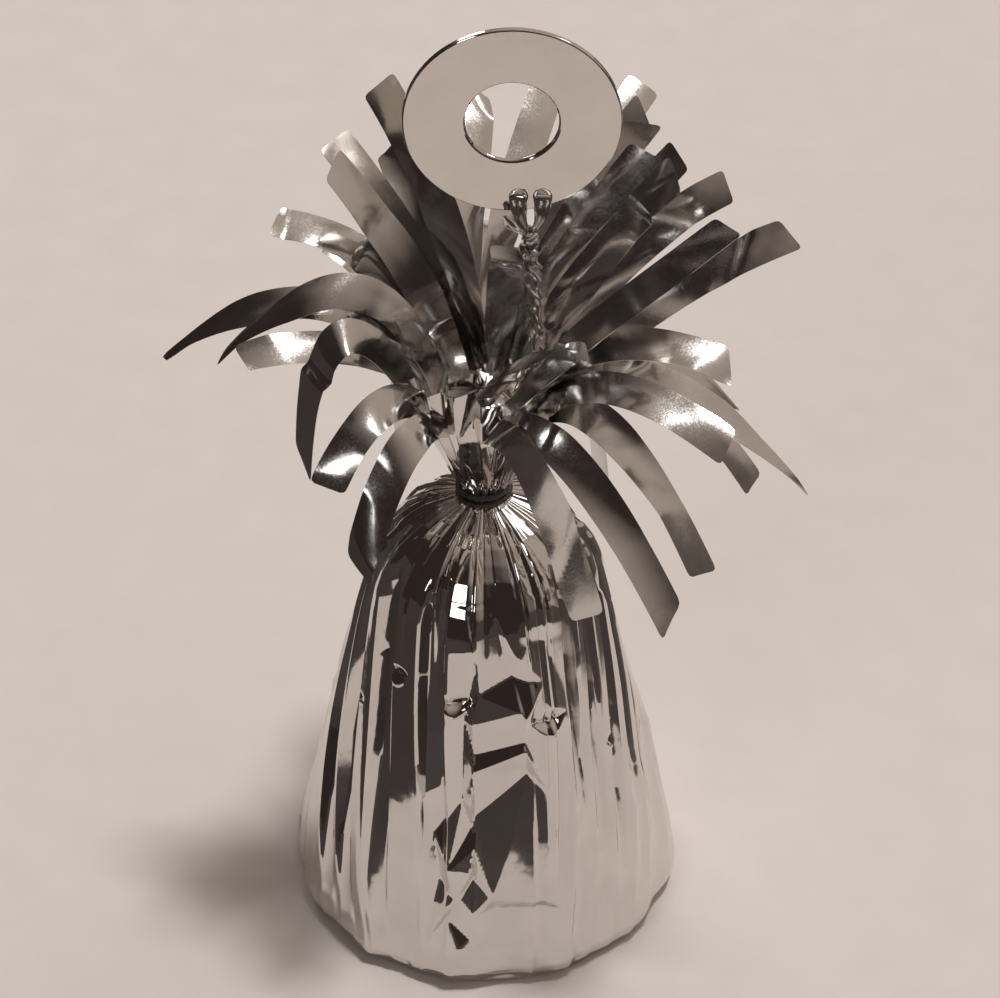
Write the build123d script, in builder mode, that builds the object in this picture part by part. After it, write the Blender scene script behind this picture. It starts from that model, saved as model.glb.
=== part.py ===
# Balloon weight: a foil-wrapped bell with a tied neck, a cut fringe and a ring on a twisted tether
from build123d import *
from math import cos, hypot, pi, radians, sin
import os

os.makedirs("parts", exist_ok=True)

# Bell: height and radius of the wrapped weight, in mm
bell_height = 67.6
base_radius = 27.5
neck_top_radius = 4.4
film_wall = 0.5
film_floor = 0.5
inner_clearance = 0.15
pleat_count = 24
# Heights, radii and pleat depths of the wrap, as shares of the bell's height and base radius
wrap_height_shares = (0, 0.037, 0.25, 0.47, 0.695, 0.83, 0.895, 0.945, 0.98, 1)
wrap_radius_shares = (0.955, 1, 0.875, 0.747, 0.62, 0.543, 0.482, 0.38, 0.255, 0.16)
pleat_shares = (0.02, 0.022, 0.03, 0.034, 0.034, 0.03, 0.026, 0.022, 0.016, 0.01)

# Weight inside the wrap: a cup, its filling and the disc that closes it
cup_wall = 1.2
plug_thickness = 2.0
plug_ledge = 1.0

# Neck, tie and collar above the wrap
neck_radius = 3.0
neck_height = 3.6
collar_height = 14.8
collar_top_radius = 9.9
collar_height_shares = (0.15, 0.44, 0.74, 1)
collar_radius_shares = (0.475, 0.645, 0.82, 1)
collar_pleat_shares = (0.02, 0.04, 0.05, 0.035)
collar_pleats = 18
tie_diameter = 0.8
tie_rise = 1.25
tie_turns = 2
tie_gap = 0.08
tie_lift = 0.15

# Fringe: cut film strips seated on three steps of the collar
strip_width = 4.8
strip_root_width = 2.2
strip_thickness = 0.35
strip_sections = 9
widen_share = 0.6
untwist_share = 0.8
step_height = 0.6
# Radii of the steps and of the strips' roots on them, as shares of the collar's top radius
tier_radius_shares = (0.848, 0.606, 0.343)
step_radius_shares = (0.727, 0.475)
# Length that the strip table's shares are of
fringe_reach = 50.0

# Tether: the twisted tail, its loop and the ring
tether_radius = 1.2
# Where the tail leaves the collar, as a share of the collar's top radius
tether_foot_share = 0.505
tether_foot_y = -0.8
tether_sink = 0.2
pocket_clearance = 0.7
seat_gap = 0.1
tether_rise = 24.2
tether_top_x = 5.95
tether_top_y = -1.6
bow_x = 7.0
bow_share = 0.42
bend_share = 0.75
bend_x = 6.6
straight_end = 1.6
tether_bend_radius = 5.0

knot_height = 2.6
loop_diameter = 0.9
loop_rise = 7.3
leg_front = 1.6
loop_behind = 1.5
leg_drop = 2.0
leg_start_spread = 0.5
loop_bend_radius = 0.8

ring_radius = 13.5
ring_hole_radius = 5.75
ring_thickness = 0.8
ring_y = -1.0
ring_shift = -2.34
# Degrees that the ring leans forward as it hangs on its loop
ring_tilt = 3
tether_hole_radius = 1.0
tether_hole_spacing = 3.0
tether_hole_margin = 2.3

# Heights that follow from the sizes above
collar_base = bell_height + neck_height
collar_top = collar_base + collar_height
tether_foot_x = collar_top_radius * tether_foot_share
tier_heights = (collar_top, collar_top + step_height, collar_top + step_height * 2)
tier_radii = [collar_top_radius * share for share in tier_radius_shares]
step_radii = [collar_top_radius * share for share in step_radius_shares]
stalk_top = collar_top + tether_rise
hole_height = stalk_top + loop_rise

# One row for each strip, chosen by eye from the photograph: root angle, step, crown out, crown up, tip angle,
# reach, rise of the tip above the collar, turn at the root, turn at the tip (degrees, and shares of fringe_reach)
strip_shares = (
    (-1, 0, 0.24, 0.30, 4, 0.80, 0.46, 65, 30),
    (11, 0, 0.18, 0.30, 10, 0.70, -0.18, 65, 25),
    (27, 0, 0.16, 0.36, 16, 0.66, 0.52, 65, 30),
    (40, 0, 0.16, 0.30, 31, 0.60, 0.54, 65, 30),
    (54, 0, 0.22, 0.24, 37, 0.42, -0.54, 65, 15),
    (67, 0, 0.20, 0.30, 57, 0.80, 0.52, 65, 25),
    (81, 0, 0.22, 0.24, 64, 0.40, -0.50, 65, 15),
    (95, 0, 0.20, 0.36, 86, 0.72, 0.00, 65, 15),
    (113, 0, 0.20, 0.36, 110, 0.72, 0.00, -65, -15),
    (131, 0, 0.22, 0.28, 127, 0.34, -0.50, -65, -15),
    (152, 0, 0.10, 0.28, 150, 0.46, 0.32, -65, -20),
    (172, 0, 0.18, 0.48, 171, 0.86, 0.00, -65, -15),
    (-156, 0, 0.28, 0.64, -155, 0.52, -0.10, -65, -15),
    (-140, 0, 0.16, 0.26, -138, 0.54, -0.04, -65, -25),
    (-124, 0, 0.20, 0.18, -126, 0.56, -0.26, -65, -10),
    (-104, 0, 0.12, 0.40, -42, 0.36, 0.30, 55, -30),
    (-89, 0, 0.18, 0.16, -50, 0.42, -0.52, 65, 15),
    (-73, 0, 0.18, 0.20, -41, 0.66, -0.46, 65, 5),
    (-52, 0, 0.16, 0.34, -38, 0.78, 0.18, 65, 15),
    (-39, 0, 0.20, 0.24, -28, 0.66, -0.40, 65, 10),
    (-26, 0, 0.28, 0.38, -18, 0.88, -0.14, 65, 15),
    (-13, 0, 0.24, 0.28, -9, 0.72, -0.24, 65, 15),
    (24, 1, 0.10, 0.30, 8, 0.50, 0.64, 65, 35),
    (42, 1, 0.08, 0.30, 22, 0.46, 0.64, 65, 30),
    (58, 1, 0.10, 0.30, 40, 0.56, 0.62, 65, 25),
    (75, 1, 0.12, 0.30, 48, 0.66, 0.56, 65, 25),
    (92, 1, 0.10, 0.30, 75, 0.66, 0.52, 65, 20),
    (109, 1, 0.10, 0.30, 91, 0.66, 0.52, 65, 20),
    (134, 1, 0.10, 0.30, 116, 0.56, 0.44, -65, -25),
    (154, 1, 0.12, 0.44, 165, 0.56, 0.44, -65, -15),
    (175, 1, 0.16, 0.58, 181, 0.70, 0.10, -65, -15),
    (-170, 1, 0.16, 0.26, -168, 0.64, 0.20, -65, -20),
    (-140, 1, 0.06, 0.24, -135, 0.30, 0.34, -65, -50),
    (-62, 1, 0.20, 0.34, -12, 0.64, 0.62, 65, 30),
    (-42, 1, 0.16, 0.38, -24, 0.70, 0.28, 65, 20),
    (96, 2, 0.08, 0.44, 132, 0.40, 0.76, -60, -25),
    (128, 2, 0.12, 0.32, 147, 0.46, 0.62, -65, -25),
    (160, 2, 0.10, 0.36, 160, 0.42, 0.62, -65, -25),
    (54, 2, 0.04, 0.16, 66, 0.16, 0.36, 65, 30),
)


def keep(solid, name):
    solid.label = name
    export_step(solid, f"parts/{name}.step")


def polar_point(angle, radius, height):
    return Vector(radius * cos(radians(angle)), radius * sin(radians(angle)), height)


def pleated_points(radius, depth, count):
    # alternate crest and valley corners of one pleated section
    spread = 360 / (count * 2)
    corners = []
    for corner in range(count * 2):
        swing = radius if corner % 2 == 0 else radius - depth
        angle = radians(corner * spread)
        corners.append((swing * cos(angle), swing * sin(angle)))
    return corners


# Film wrap: pleated outside, hollow for the weight, closed under the base
wrap_heights = [bell_height * share for share in wrap_height_shares]
wrap_radii = [base_radius * share for share in wrap_radius_shares]
wrap_pleats = [base_radius * share for share in pleat_shares]
core_radii = [
    (radius - depth) * cos(pi / (pleat_count * 2)) - film_wall
    for radius, depth in zip(wrap_radii, wrap_pleats)
]
# The weight stops below the gathered neck
core_levels = 8
core_heights = wrap_heights[:core_levels]
core_heights[0] = film_floor


def core_profile(inset, bottom):
    # half outline of the weight, drawn in from the film by the inset
    outline = [(0, bottom)]
    outline.append((core_radii[0] - inset, bottom))
    for radius, height in zip(core_radii[1:core_levels], core_heights[1:]):
        outline.append((radius - inset, height - inset / 2))
    outline.append((0, core_heights[-1] - inset / 2))
    return outline


with BuildPart() as foil_wrap:
    for height, radius, depth in zip(wrap_heights, wrap_radii, wrap_pleats):
        with BuildSketch(Plane.XY.offset(height)):
            Polygon(*pleated_points(radius, depth, pleat_count), align=None)
    loft(ruled=True)
    with BuildSketch(Plane.XZ):
        Polygon(*core_profile(0, film_floor), align=None)
    revolve(axis=Axis.Z, mode=Mode.SUBTRACT)
keep(foil_wrap.part, "foil_wrap")

# Moulded cup that gives the weight its bell shape, open below
cup_bottom = film_floor + inner_clearance
with BuildPart() as weight_shell:
    with BuildSketch(Plane.XZ):
        Polygon(*core_profile(inner_clearance, cup_bottom), align=None)
        Polygon(*core_profile(inner_clearance + cup_wall, cup_bottom), align=None, mode=Mode.SUBTRACT)
    revolve(axis=Axis.Z)
keep(weight_shell.part, "weight_shell")

# Filling that sets inside the cup, above the disc that closes it
fill_inset = inner_clearance * 2 + cup_wall
plug_top = cup_bottom + plug_thickness
with BuildPart() as ballast_fill:
    with BuildSketch(Plane.XZ):
        Polygon(*core_profile(fill_inset, cup_bottom), align=None)
    revolve(axis=Axis.Z)
    with Locations((0, 0, cup_bottom)):
        Cylinder(base_radius, plug_thickness + inner_clearance, align=(Align.CENTER, Align.CENTER, Align.MIN),
                 mode=Mode.SUBTRACT)
keep(ballast_fill.part, "ballast_fill")

plug_radius = core_radii[0] - fill_inset - plug_ledge
with BuildPart() as base_plug:
    with Locations((0, 0, cup_bottom)):
        Cylinder(plug_radius, plug_thickness, align=(Align.CENTER, Align.CENTER, Align.MIN))
keep(base_plug.part, "base_plug")

# Collar: the gathered film above the tie, with three steps that carry the strips
pocket_depth = tether_radius + tether_sink + seat_gap
foot_height = collar_top - tether_sink
with BuildPart() as gathered_collar:
    for height in (bell_height, collar_base):
        with BuildSketch(Plane.XY.offset(height)):
            Polygon(*pleated_points(neck_radius, 0, collar_pleats), align=None)
    for height_share, radius_share, pleat_share in zip(
        collar_height_shares, collar_radius_shares, collar_pleat_shares
    ):
        with BuildSketch(Plane.XY.offset(collar_base + collar_height * height_share)):
            Polygon(
                *pleated_points(collar_top_radius * radius_share, collar_top_radius * pleat_share, collar_pleats),
                align=None,
            )
    loft(ruled=True)
    for level, radius in enumerate(step_radii):
        with Locations((0, 0, tier_heights[level])):
            Cylinder(radius, step_height, align=(Align.CENTER, Align.CENTER, Align.MIN))
    with Locations((tether_foot_x, tether_foot_y, collar_top - pocket_depth)):
        Cylinder(tether_radius + pocket_clearance, pocket_depth + step_height * 3,
                 align=(Align.CENTER, Align.CENTER, Align.MIN), mode=Mode.SUBTRACT)
keep(gathered_collar.part, "gathered_collar")

# Neck tie: one thread in turns, made of quarter-turn arcs that run on smoothly, with straight ends
tie_radius = neck_radius + tie_gap + tie_diameter / 2
tie_start = bell_height + tie_lift + tie_diameter / 2
quarters = tie_turns * 4


def tie_point(quarter):
    return polar_point(90 * quarter, tie_radius, tie_start + tie_rise * quarter / 4)


with BuildPart() as neck_tie:
    with BuildLine() as tie_path:
        heading = Vector(0, tie_radius * 2 * pi, tie_rise).normalized()
        Line(tie_point(0) - heading * tie_diameter, tie_point(0))
        for quarter in range(quarters):
            turn_arc = TangentArc(tie_point(quarter), tie_point(quarter + 1), tangent=heading)
            heading = turn_arc % 1
        Line(tie_point(quarters), tie_point(quarters) + heading * tie_diameter)
    with BuildSketch(tie_path.line ^ 0):
        Circle(tie_diameter / 2)
    sweep()
keep(neck_tie.part, "neck_tie")

# Least gap of the tie to itself, between points over a half turn apart along its path
steps_per_turn = 60
tie_line = tie_path.wire()
count = steps_per_turn * tie_turns
points = [tie_line.position_at(step / count) for step in range(count + 1)]
least = min(
    (points[first] - points[second]).length
    for first in range(count + 1)
    for second in range(first + steps_per_turn // 2, count + 1)
)
print(f"neck_tie least gap to itself: {least - tie_diameter:.2f} mm")


def strip_plane(row, share):
    # where a strip's section lies and how it is turned, at this share of its length
    root_angle, step, crown_out, crown_up, tip_angle, reach, rise, root_turn, tip_turn = row
    root = polar_point(root_angle, tier_radii[step], tier_heights[step])
    crown_angle = (root_angle + tip_angle) / 2
    crown_radius = tier_radii[step] + fringe_reach * crown_out
    crown = polar_point(crown_angle, crown_radius, tier_heights[step] + fringe_reach * crown_up)
    tip = polar_point(tip_angle, fringe_reach * reach, collar_top + fringe_reach * rise)
    spot = root * (1 - share) ** 2 + crown * (2 * share * (1 - share)) + tip * share**2
    along = ((crown - root) * (1 - share) + (tip - crown) * share).normalized()
    if share == 0:
        along = Vector(0, 0, 1)
    heading = radians(root_angle + (tip_angle - root_angle) * share)
    side = Vector(-sin(heading), cos(heading), 0)
    side = (side - along * side.dot(along)).normalized()
    turn = radians(root_turn + (tip_turn - root_turn) * min(1, share / untwist_share))
    across = side * cos(turn) + along.cross(side) * sin(turn)
    return Plane(origin=spot, x_dir=across, z_dir=along)


# Fringe strips: narrow where they leave the collar, twisted edge-on there, opening flat towards the tip
for number, row in enumerate(strip_shares, start=1):
    with BuildPart() as strip:
        for section in range(strip_sections):
            share = section / (strip_sections - 1)
            width = strip_root_width + (strip_width - strip_root_width) * min(1, share / widen_share)
            with BuildSketch(strip_plane(row, share)):
                Rectangle(width, strip_thickness)
        loft(ruled=True)
    keep(strip.part, f"fringe_strip_{number:02d}")

# Tether stalk: a tail with a rounded foot that leans in the collar's pocket
bow = Vector(bow_x, (tether_foot_y + tether_top_y) / 2, foot_height + tether_rise * bow_share)
bend = Vector(bend_x, (bow.Y + tether_top_y) / 2, foot_height + tether_rise * bend_share)
with BuildPart() as tether_stalk:
    with BuildLine() as stalk_path:
        FilletPolyline(
            (tether_foot_x, tether_foot_y, foot_height),
            bow,
            bend,
            (tether_top_x, tether_top_y, stalk_top - straight_end),
            (tether_top_x, tether_top_y, stalk_top),
            radius=tether_bend_radius,
        )
    with BuildSketch(stalk_path.line ^ 0):
        Circle(tether_radius)
    sweep()
    with Locations((tether_foot_x, tether_foot_y, foot_height)):
        Sphere(tether_radius)
keep(tether_stalk.part, "tether_stalk")

# Tether loop: a strand up the front, through one small hole, across the back and out of the other
left_x = tether_top_x - tether_hole_spacing / 2
right_x = tether_top_x + tether_hole_spacing / 2
front_y = ring_y - leg_front
back_y = ring_y + loop_behind
knot_base = stalk_top + seat_gap
leg_low = hole_height - leg_drop
knot_middle = knot_base + knot_height / 2
with BuildPart() as tether_loop:
    with BuildLine() as loop_path:
        FilletPolyline(
            (tether_top_x - leg_start_spread, tether_top_y, knot_middle),
            (left_x, front_y, leg_low),
            (left_x, front_y, hole_height),
            (left_x, back_y, hole_height),
            (right_x, back_y, hole_height),
            (right_x, front_y, hole_height),
            (right_x, front_y, leg_low),
            (tether_top_x + leg_start_spread, tether_top_y, knot_middle),
            radius=loop_bend_radius,
        )
    with BuildSketch(loop_path.line ^ 0):
        Circle(loop_diameter / 2)
    sweep()
    with Locations((tether_top_x, tether_top_y, knot_base)):
        Cylinder(tether_radius, knot_height, align=(Align.CENTER, Align.CENTER, Align.MIN))
keep(tether_loop.part, "tether_loop")

# Ring: flat, leaning a little forward, with the ribbon hole and two small holes for the loop
ring_lean = radians(ring_tilt)
ring_reach = ring_radius - tether_hole_margin
with BuildPart() as hang_ring:
    ring_face = Plane(
        origin=(tether_top_x, ring_y, hole_height),
        x_dir=(1, 0, 0),
        z_dir=(0, -cos(ring_lean), -sin(ring_lean)),
    )
    with BuildSketch(ring_face):
        with Locations((ring_shift, ring_reach)):
            Circle(ring_radius)
            Circle(ring_hole_radius, mode=Mode.SUBTRACT)
        with Locations((-tether_hole_spacing / 2, 0), (tether_hole_spacing / 2, 0)):
            Circle(tether_hole_radius, mode=Mode.SUBTRACT)
    extrude(amount=ring_thickness / 2, both=True)
keep(hang_ring.part, "hang_ring")

ring_centre = ring_face.from_local_coords((ring_shift, ring_reach, 0))
print("ring centre", [round(value, 3) for value in ring_centre], "hole height", round(hole_height, 3))
print("tether foot", (tether_foot_x, tether_foot_y, round(foot_height, 3)), "stalk top", round(stalk_top, 3))
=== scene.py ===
# %% [markdown]
# # A balloon weight in metallised film
# A balloon weight is a small bell-shaped weight wrapped in a sheet of silver film. The film is gathered at a
# neck, tied with thread, and cut into strips above the tie. A twisted tail of the same film carries a flat
# ring for the balloon's ribbon. The CAD model is loaded first, so that every piece made here shares its
# frame.

# %% load the frame
import math
import bmesh
import bpy
import numpy as np
from mathutils import Matrix, Vector, geometry


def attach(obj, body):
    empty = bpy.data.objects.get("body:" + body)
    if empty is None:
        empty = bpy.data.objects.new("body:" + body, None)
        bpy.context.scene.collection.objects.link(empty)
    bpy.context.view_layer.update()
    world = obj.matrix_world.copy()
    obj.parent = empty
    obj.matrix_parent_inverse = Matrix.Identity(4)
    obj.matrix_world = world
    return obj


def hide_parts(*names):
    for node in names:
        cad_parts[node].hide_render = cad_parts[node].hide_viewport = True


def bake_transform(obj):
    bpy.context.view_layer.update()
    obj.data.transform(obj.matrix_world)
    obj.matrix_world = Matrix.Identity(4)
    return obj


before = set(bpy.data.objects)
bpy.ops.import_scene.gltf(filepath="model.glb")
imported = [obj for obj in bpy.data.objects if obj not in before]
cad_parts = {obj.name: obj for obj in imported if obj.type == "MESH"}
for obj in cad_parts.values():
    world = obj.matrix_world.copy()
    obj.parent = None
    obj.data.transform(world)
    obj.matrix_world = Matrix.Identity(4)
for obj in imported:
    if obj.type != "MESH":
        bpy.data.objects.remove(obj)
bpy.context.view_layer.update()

MM = 0.001
draws = np.random.default_rng(41)

# %% [markdown]
# ## Helpers for finishes
# Colours are written as sRGB hex values, as a paint chart gives them, and the shader wants linear light, so
# one function converts them. A second one adds a node with its settings and links, which keeps each finish
# short.

# %% finish helpers
def linear(code):
    # the sRGB curve: straight near black, a power above it
    shares = [int(code[place:place + 2], 16) / 255 for place in (1, 3, 5)]
    return [share / 12.92 if share < 0.04045 else ((share + 0.055) / 1.055) ** 2.4 for share in shares] + [1]


def add_node(finish, kind, inputs=None, **settings):
    made = finish.node_tree.nodes.new(kind)
    for name, value in settings.items():
        setattr(made, name, value)
    for name, value in (inputs or {}).items():
        if isinstance(value, bpy.types.NodeSocket):
            finish.node_tree.links.new(value, made.inputs[name])
        else:
            made.inputs[name].default_value = value
    return made


def new_finish(name):
    finish = bpy.data.materials.new(name)
    finish.use_nodes = True
    finish.node_tree.nodes.clear()
    place = add_node(finish, "ShaderNodeTexCoord").outputs["Object"]
    return finish, place


def close_finish(finish, inputs):
    skin = add_node(finish, "ShaderNodeBsdfPrincipled", inputs)
    add_node(finish, "ShaderNodeOutputMaterial", {"Surface": skin.outputs["BSDF"]})
    print("finish:", finish.name, "with", len(finish.node_tree.nodes), "nodes")
    return finish


# %% [markdown]
# ## Metallised film
# The wrap is thin plastic film with aluminium vapour on it: a mirror that is a little soft, because the film
# is never quite flat. Three finishes come from one recipe. The wrap is the cleanest. The strips were cut and
# handled, so they carry rub marks, in scuffed patches only, that break the reflection into sparkle. The ring
# is stiff and flat, so its waves are the longest.

# %% metallised film
# the ranges are of noise: where the film goes from clear to worn, and from smooth to scuffed
patch_mm = 6
worn_range = (0.12, 0.42)
scuff_range = (0.46, 0.66)


def metallised_film(name, pale, dull, rough, wave_mm, wave_push, rub_mm, rub_push):
    # a mirror with slow waves in the film, and rub marks drawn coarse enough to show in the render
    finish, place = new_finish(name)
    patches = add_node(finish, "ShaderNodeTexNoise",
                       {"Vector": place, "Scale": 1 / (patch_mm * MM), "Detail": 4})
    rubs = add_node(finish, "ShaderNodeTexNoise",
                    {"Vector": place, "Scale": 1 / (rub_mm * MM), "Detail": 2})
    waves = add_node(finish, "ShaderNodeTexNoise",
                     {"Vector": place, "Scale": 1 / (wave_mm * MM), "Detail": 1})
    colour = add_node(finish, "ShaderNodeMix",
                      {0: patches.outputs["Fac"], 6: linear(dull), 7: linear(pale)}, data_type="RGBA")
    worn = add_node(finish, "ShaderNodeMath",
                    {0: patches.outputs["Fac"], 1: rubs.outputs["Fac"]}, operation="MULTIPLY")
    dimmed = add_node(finish, "ShaderNodeMapRange",
                      {"Value": worn.outputs[0], "From Min": worn_range[0], "From Max": worn_range[1],
                       "To Min": rough[0], "To Max": rough[1]})
    slow = add_node(finish, "ShaderNodeBump", {"Height": waves.outputs["Fac"], "Distance": wave_push * MM})
    scuffed = add_node(finish, "ShaderNodeMapRange",
                       {"Value": patches.outputs["Fac"], "From Min": scuff_range[0],
                        "From Max": scuff_range[1]})
    grain = add_node(finish, "ShaderNodeMath",
                     {0: scuffed.outputs["Result"], 1: rubs.outputs["Fac"]}, operation="MULTIPLY")
    fine = add_node(finish, "ShaderNodeBump",
                    {"Height": grain.outputs[0], "Distance": rub_push * MM, "Normal": slow.outputs["Normal"]})
    return close_finish(finish, {"Base Color": colour.outputs[2], "Metallic": 1.0,
                                 "Roughness": dimmed.outputs["Result"], "Normal": fine.outputs["Normal"]})


# polyester film with vapour-laid aluminium: clear mirror images that bend over slow waves
wrap_film = metallised_film("metallised_polyester_film_wrap", "#e6e3e0", "#d3cfcb", rough=(0.035, 0.09),
                            wave_mm=2.6, wave_push=0.014, rub_mm=0.5, rub_push=0.0015)
# the same film, cut and handled: soft streaks of light with a sparkle where it was rubbed
strip_film = metallised_film("metallised_polyester_film_cut", "#e2dfdc", "#c6c2bd", rough=(0.1, 0.24),
                             wave_mm=3.4, wave_push=0.03, rub_mm=0.26, rub_push=0.01)
# stiff plastic with a mirror coat: one even image, with a few light scratches
ring_film = metallised_film("metallised_plastic_ring", "#e4dfdb", "#d2ccc7", rough=(0.05, 0.1),
                            wave_mm=9.0, wave_push=0.02, rub_mm=0.6, rub_push=0.002)

# %% [markdown]
# ## Thread, cup and filling
# The tie is dark thread, pulled tight and a little waxy. Inside the wrap a moulded cup holds the filling that
# gives the weight. These inner pieces stay as their CAD nodes and never show, but they have finishes of their
# own.

# %% thread, cup and filling
def plain_finish(name, pale, dark, rough, grain_mm, grain_push):
    # two shades of one colour with a grain that also lifts the surface
    finish, place = new_finish(name)
    grain = add_node(finish, "ShaderNodeTexNoise",
                     {"Vector": place, "Scale": 1 / (grain_mm * MM), "Detail": 5})
    colour = add_node(finish, "ShaderNodeMix", {0: grain.outputs["Fac"], 6: linear(dark), 7: linear(pale)},
                      data_type="RGBA")
    lift = add_node(finish, "ShaderNodeBump", {"Height": grain.outputs["Fac"], "Distance": grain_push * MM})
    return close_finish(finish, {"Base Color": colour.outputs[2], "Roughness": rough,
                                 "Normal": lift.outputs["Normal"]})


# waxed thread: nearly black, with a dull shine along its plies
tie_finish = plain_finish("waxed_polyester_thread", "#6a6461", "#3a3634",
                          rough=0.3, grain_mm=0.3, grain_push=0.05)
# moulded polystyrene: an even off-white with a soft sheen
cup_finish = plain_finish("moulded_polystyrene", "#d9d6d0", "#cbc7c0",
                          rough=0.5, grain_mm=0.8, grain_push=0.02)
# set plaster: chalky and uneven, with no shine
fill_finish = plain_finish("set_plaster", "#cfc8bd", "#a89f93", rough=0.9, grain_mm=1.2, grain_push=0.2)
inner_finishes = {"weight_shell": cup_finish, "base_plug": cup_finish, "ballast_fill": fill_finish}
for node_name, finish in inner_finishes.items():
    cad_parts[node_name].data.materials.clear()
    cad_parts[node_name].data.materials.append(finish)

# %% [markdown]
# ## Helpers for shapes
# Most pieces here are films of revolution or strips. A short chain of vertices is spun into a surface, then
# its vertices are moved as a sculptor would move them, all at once. The last helper turns the finished bmesh
# into an object that rides on its CAD body and stands in for its CAD node.

# %% shape helpers
# an edge that rises less than the level step counts as level, and may be longer by the level stretch
level_step, level_stretch = 0.01, 8
weld_gap = 0.002


def spin_chain(bm, steps):
    bmesh.ops.spin(bm, geom=bm.verts[:] + bm.edges[:], cent=(0, 0, 0), axis=(0, 0, 1), angle=math.tau,
                   steps=steps, use_merge=True)


def add_chain(places):
    bm = bmesh.new()
    chain = [bm.verts.new(place) for place in places]
    for start, end in zip(chain, chain[1:]):
        bm.edges.new((start, end))
    return bm


def spun_film(outline, spacing, steps):
    # outline is (radius, height) in mm; stretches are halved down to the spacing, level ones less, then spun
    bm = add_chain([(radius * MM, 0, height * MM) for radius, height in outline])
    while True:
        long = []
        for edge in bm.edges:
            first, second = edge.verts
            level = abs(first.co.z - second.co.z) < level_step * MM
            if edge.calc_length() > spacing * (level_stretch if level else 1) * MM:
                long.append(edge)
        if not long:
            break
        bmesh.ops.subdivide_edges(bm, edges=long, cuts=1)
    spin_chain(bm, steps)
    bmesh.ops.remove_doubles(bm, verts=bm.verts[:], dist=weld_gap * MM)
    bmesh.ops.recalc_face_normals(bm, faces=bm.faces[:])
    return bm


def reshape(bm, form):
    # form takes and gives an array of places in mm
    places = form(np.array([vert.co for vert in bm.verts]) / MM)
    for vert, place in zip(bm.verts, places):
        vert.co = place * MM


def add_piece(bm, name, finish, body, slot, *cad_nodes, sharp_angle=50):
    # a piece may be given no body, and is then not attached to one
    mesh = bpy.data.meshes.new(name)
    bm.to_mesh(mesh)
    bm.free()
    mesh.shade_smooth()
    mesh.set_sharp_from_angle(angle=math.radians(sharp_angle))
    mesh.materials.append(finish)
    piece = bpy.data.objects.new(name, mesh)
    bpy.context.collection.objects.link(piece)
    if body:
        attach(piece, body)
    if cad_nodes:
        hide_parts(*cad_nodes)
    area = sum(face.area for face in mesh.polygons) / MM**2
    print(name, "has", len(mesh.polygons), "faces and", round(area), "mm2")
    return piece


# %% [markdown]
# ## Folds in film
# Film doesn't stretch, so it buckles into flat panels between sharp creases. Two tools draw that. One splits
# the turn round the bell into panels, each flat between its creases. The other lays a net of triangles over
# the film, each corner pushed in or out, which gives the flat facets of crumpled film.

# %% fold helpers
def panels_round(angle, count, unevenness):
    # index, share across and width in degrees of the panel at each angle
    widths = draws.uniform(1 - unevenness, 1 + unevenness, count)
    widths *= 360 / widths.sum()
    corners = np.concatenate(([0], np.cumsum(widths)))
    turned = angle % 360
    index = np.clip(np.searchsorted(corners, turned, side="right") - 1, 0, count - 1)
    return index, (turned - corners[index]) / widths[index], widths[index]


def flatness(across, width):
    # how far a flat panel lies inside the circle through its creases, as a share of the radius
    half = np.radians(width / 2)
    return 1 - np.cos(half) / np.cos((across * 2 - 1) * half)


def tent(across, peak):
    return np.where(across < peak, across / peak, (1 - across) / (1 - peak))


def ramp(value, start, end):
    share = np.clip((value - start) / (end - start), 0, 1)
    return share * share * (3 - 2 * share)


# %% crumple helpers
merge_gap, least_area, edge_slack = 1e-6, 1e-9, 1e-6
net_jitter, net_reach = 0.4, 225


def facets(net, across, along):
    # net rows are (across, along, push); flat triangles between them carry the push to every place
    flat_net = [Vector((row[0], row[1])) for row in net]
    corners, _, triangles, sources, _, _ = geometry.delaunay_2d_cdt(flat_net, [], [], 0, merge_gap)
    push = [net[source[0]][2] for source in sources]
    lift = np.zeros_like(across)
    for first, second, third in triangles:
        (ax, ay), (bx, by), (cx, cy) = corners[first], corners[second], corners[third]
        area = (bx - ax) * (cy - ay) - (cx - ax) * (by - ay)
        if abs(area) < least_area:
            continue
        near = np.flatnonzero((across >= min(ax, bx, cx)) & (across <= max(ax, bx, cx))
                              & (along >= min(ay, by, cy)) & (along <= max(ay, by, cy)))
        right, up = across[near] - ax, along[near] - ay
        to_second = (right * (cy - ay) - (cx - ax) * up) / area
        to_third = ((bx - ax) * up - right * (by - ay)) / area
        inside = (to_second >= -edge_slack) & (to_third >= -edge_slack)
        inside &= to_second + to_third <= 1 + edge_slack
        height = push[first] + (push[second] - push[first]) * to_second
        height += (push[third] - push[first]) * to_third
        lift[near[inside]] = height[inside]
    return lift


def loose_net(across_gap, along_gap, top, push):
    # a jittered net over the whole turn, with its edges repeated so that it meets itself at the back
    rows = []
    for along in np.arange(0, top, along_gap):
        for across in np.arange(-180, 180, across_gap):
            rows.append((across + draws.uniform(-net_jitter, net_jitter) * across_gap,
                         along + draws.uniform(-net_jitter, net_jitter) * along_gap,
                         draws.uniform(-push, push)))
    return rows + [(across + turn, along, lift) for across, along, lift in rows for turn in (-360, 360)
                   if abs(across + turn) < net_reach]


# %% [markdown]
# ## The wrap
# The bell's outline is read off the photograph: straight sides, a rounded shoulder and a tight neck. It is
# spun, then folded in layers from coarse to fine: a base of about ten sides, long panels that stand upright
# or lean back, gathers and fine creases at the neck, crumples, a crumpled seam at the front, and five small
# scooped pockets. Where a fold would reach the cup inside, the film rests on it.
#
# Heights are in mm above the table, and turns in degrees from the front, positive to the right. A band is a
# pair of values between which something comes in or fades out.

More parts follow.
